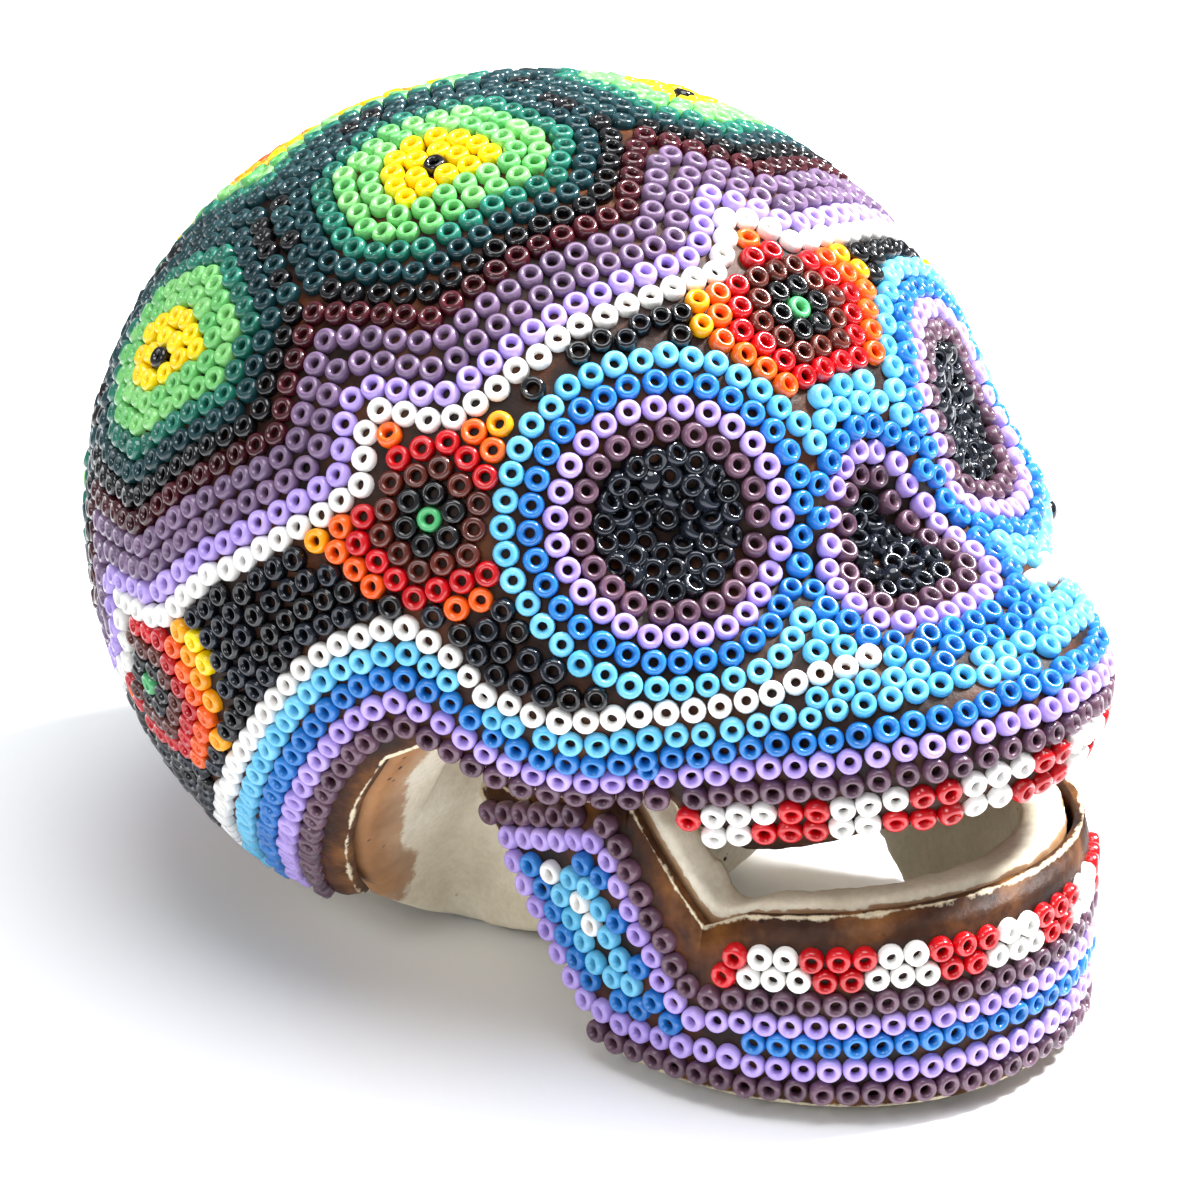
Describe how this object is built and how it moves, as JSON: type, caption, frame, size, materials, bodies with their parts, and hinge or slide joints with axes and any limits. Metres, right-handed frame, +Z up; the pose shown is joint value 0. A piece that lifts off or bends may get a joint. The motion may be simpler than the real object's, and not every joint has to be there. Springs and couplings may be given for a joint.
{
  "type": "beaded skull figure",
  "caption": "Cast skull figure with a hinged lower jaw, covered in brown wax set with bands of coloured glass seed beads.",
  "frame": {"origin": "middle of the footprint, on the ground", "axes": "+Z up, face towards -Y, the skull's own left towards +X"},
  "size_m": [0.0832, 0.1044, 0.0763],
  "materials": {
    "bone": "matt cream cast resin",
    "wax": "brown beeswax, satin",
    "steel": "plain steel wire",
    "lilac": "opaque seed beads, glossy",
    "mauve": "opaque seed beads, glossy",
    "plum": "opaque seed beads, glossy",
    "maroon": "opaque seed beads, glossy",
    "white": "opaque seed beads, glossy",
    "sky": "opaque seed beads, glossy",
    "blue": "opaque seed beads, glossy",
    "gunmetal": "opaque seed beads, glossy",
    "green": "opaque seed beads, glossy",
    "sun": "opaque seed beads, glossy",
    "teeth": "opaque seed beads, glossy"
  },
  "bodies": {
    "cranium": {"cranium_casting": "bone", "cranium_wax": "wax", "crown_star": "green", "green_cell_1": "green", "green_cell_2": "green", "green_cell_3": "green", "green_cell_4": "green", "green_cell_5": "green", "green_cell_6": "green", "green_cell_7": "green", "maroon_zigzag": "maroon", "mauve_zigzag": "mauve", "lilac_zigzag": "lilac", "white_zigzag": "white", "eye_right_fill": "gunmetal", "eye_right_plum_ring": "plum", "eye_right_lilac_ring": "lilac", "eye_left_fill": "gunmetal", "eye_left_plum_ring": "plum", "eye_left_lilac_ring": "lilac", "nose_fill": "gunmetal", "nose_plum_ring": "plum", "nose_lilac_ring": "lilac", "blue_spectacles": "blue", "sky_spectacles": "sky", "arch_right_white_row": "white", "arch_left_white_row": "white", "sky_cheek_band": "sky", "blue_cheek_band": "blue", "lilac_cheek_band": "lilac", "muzzle_plum_row": "plum", "arch_right_plum_row": "plum", "arch_left_plum_row": "plum", "upper_teeth": "teeth", "sun_1": "sun", "sun_2": "sun", "sun_3": "sun", "sun_4": "sun", "sun_5": "sun", "sun_6": "sun", "sun_7": "sun", "brow_right_field": "gunmetal", "temple_right_field": "gunmetal", "brow_left_field": "gunmetal", "temple_left_field": "gunmetal", "back_field": "gunmetal", "hinge_pin_right": "steel", "hinge_pin_left": "steel"},
    "jaw": {"jaw_casting": "bone", "jaw_wax": "wax", "jaw_plum_band": "plum", "jaw_plum_foot": "plum", "jaw_lilac_band": "lilac", "jaw_blue_band": "blue", "jaw_right_branch_core": "sky", "jaw_left_branch_core": "sky", "lower_teeth": "teeth"}
  },
  "joints": [
    {"name": "jaw_hinge", "type": "hinge", "parent": "cranium", "child": "jaw", "pos_m": [0, -0.01093, 0.0255], "axis": [1, 0, 0], "range_deg": [-7.5, 10]}
  ]
}
